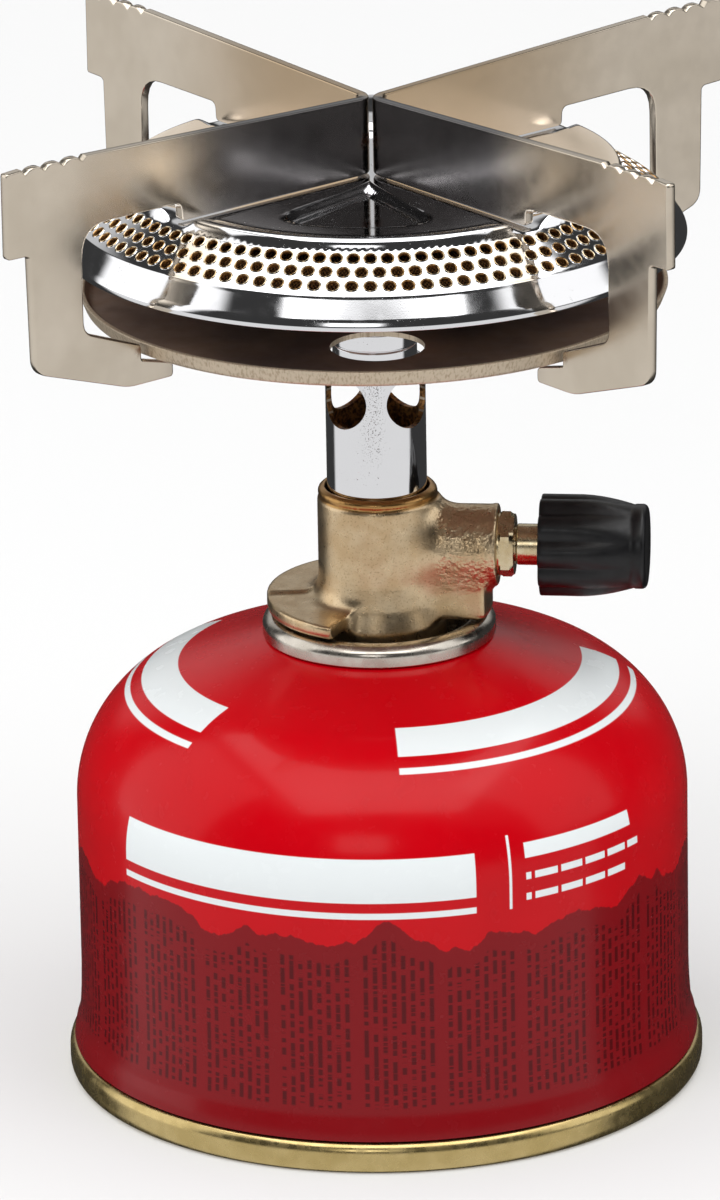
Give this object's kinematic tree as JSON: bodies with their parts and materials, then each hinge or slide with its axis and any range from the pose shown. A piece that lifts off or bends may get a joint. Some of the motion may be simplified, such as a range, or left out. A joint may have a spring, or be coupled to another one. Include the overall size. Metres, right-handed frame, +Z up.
{
  "type": "camping stove",
  "caption": "Screw-on camping stove on its gas canister: perforated burner cap, bent sheet pot supports, valve body and fluted control knob.",
  "frame": {"origin": "centre of the canister's base, on the ground", "axes": "+Z up through the canister and burner, +X along the valve spindle out through the control knob"},
  "size_m": [0.091, 0.0908, 0.1441],
  "materials": {
    "canister_paint": "gloss red enamel",
    "canister_lacquer": "gold lacquered tinplate",
    "valve_tin": "satin",
    "rubber": "matte",
    "white_plastic": "matte",
    "spring_steel": "bright wire",
    "cast_brass": "nickel washed casting, satin",
    "brass": "turned",
    "sintered_bronze": "porous matte",
    "knob_plastic": "satin moulded black",
    "chrome": "bright plate",
    "heat_dark": "heat darkened, tan at its sheared edge",
    "gauze_brown": "heat browned",
    "stainless": "satin rolled sheet"
  },
  "bodies": {
    "canister": {"canister_shell": "canister_paint", "canister_base": "canister_lacquer", "valve_cup": "valve_tin", "valve_thread_collar": "valve_tin", "valve_gasket": "rubber", "valve_housing": "white_plastic", "valve_spring": "spring_steel"},
    "stem": {"valve_stem": "white_plastic"},
    "socket_seal": {"socket_seal": "rubber"},
    "stove_head": {"valve_body": "cast_brass", "depressor_pin": "brass", "gas_filter": "sintered_bronze", "jet_nozzle": "brass", "gland_nut": "cast_brass", "burner_tube": "chrome", "mixing_neck": "chrome", "heat_shield": "heat_dark", "burner_bowl": "chrome", "burner_nut": "brass", "flame_gauze": "gauze_brown", "burner_cap": "chrome", "pot_support_left": "stainless", "pot_support_right": "stainless"},
    "spindle_seal": {"spindle_seal": "rubber"},
    "knob": {"spindle": "cast_brass", "control_knob": "knob_plastic"}
  },
  "joints": [
    {"name": "valve_stem_press", "type": "slide", "parent": "canister", "child": "stem", "axis": [0, 0, 1], "range_m": [-0.0012, 0], "stiffness_N_per_m": 400},
    {"name": "stove_lift", "type": "slide", "parent": "canister", "child": "socket_seal", "axis": [0, 0, 1], "range_m": [0, 0.005]},
    {"name": "stove_unscrew", "type": "hinge", "parent": "socket_seal", "child": "stove_head", "pos_m": [0, 0, 0.07], "axis": [0, 0, 1], "range_deg": [0, 1980]},
    {"name": "spindle_travel", "type": "slide", "parent": "stove_head", "child": "spindle_seal", "axis": [1, 0, 0], "range_m": [0, 0.00113]},
    {"name": "knob_turn", "type": "hinge", "parent": "spindle_seal", "child": "knob", "pos_m": [0.03, 0, 0.0772], "axis": [1, 0, 0], "range_deg": [0, 540]}
  ],
  "couplings": [
    {"joint": "stove_lift", "follows": "stove_unscrew", "m_per_rad": 0.00014438},
    {"joint": "spindle_travel", "follows": "knob_turn", "m_per_rad": 0.00011937}
  ]
}
